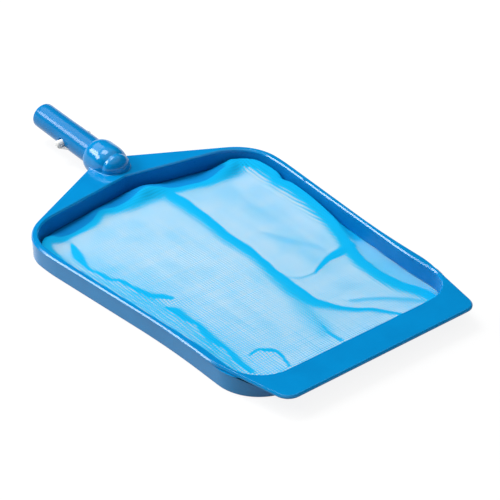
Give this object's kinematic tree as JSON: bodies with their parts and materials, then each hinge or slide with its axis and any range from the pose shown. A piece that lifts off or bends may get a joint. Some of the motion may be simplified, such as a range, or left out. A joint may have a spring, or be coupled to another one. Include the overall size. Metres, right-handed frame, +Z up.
{
  "type": "leaf skimmer net",
  "caption": "Flat pool leaf skimmer: shallow tapered frame with a scoop lip, a fine net held under it, and a tilted handle spigot with sprung lock buttons for a pole.",
  "frame": {"origin": "on the floor that the frame's wall rests on, at the middle of the whole length and width", "axes": "+Y towards the handle's free end, +Z up out of the net's open side, +X to the right seen from the lip"},
  "size_m": [0.286, 0.5362, 0.0417],
  "materials": {
    "frame": "glossy moulded polypropylene, azure blue",
    "retaining_ring": "glossy moulded polypropylene, azure blue",
    "net_hem": "folded woven tape",
    "net_mesh": "fine woven nylon mesh, pale cyan",
    "handle_tube": "glossy moulded polypropylene, azure blue",
    "clip": "white acetal, smooth"
  },
  "bodies": {
    "head": {"frame": "frame", "retaining_ring": "retaining_ring", "net_hem": "net_hem", "net_mesh": "net_mesh", "handle_tube": "handle_tube", "clip_bend": "clip"},
    "left_button": {"clip_arm_left": "clip"},
    "right_button": {"clip_arm_right": "clip"}
  },
  "joints": [
    {"name": "left_button_press", "type": "hinge", "parent": "head", "child": "left_button", "pos_m": [-0.0055, 0.16235, 0.02026], "axis": [0, 0.0436, -0.999], "range_deg": [0, 8], "stiffness_Nm_per_rad": 2},
    {"name": "right_button_press", "type": "hinge", "parent": "head", "child": "right_button", "pos_m": [0.0055, 0.16235, 0.02026], "axis": [0, -0.0436, 0.999], "range_deg": [0, 8], "stiffness_Nm_per_rad": 2}
  ]
}
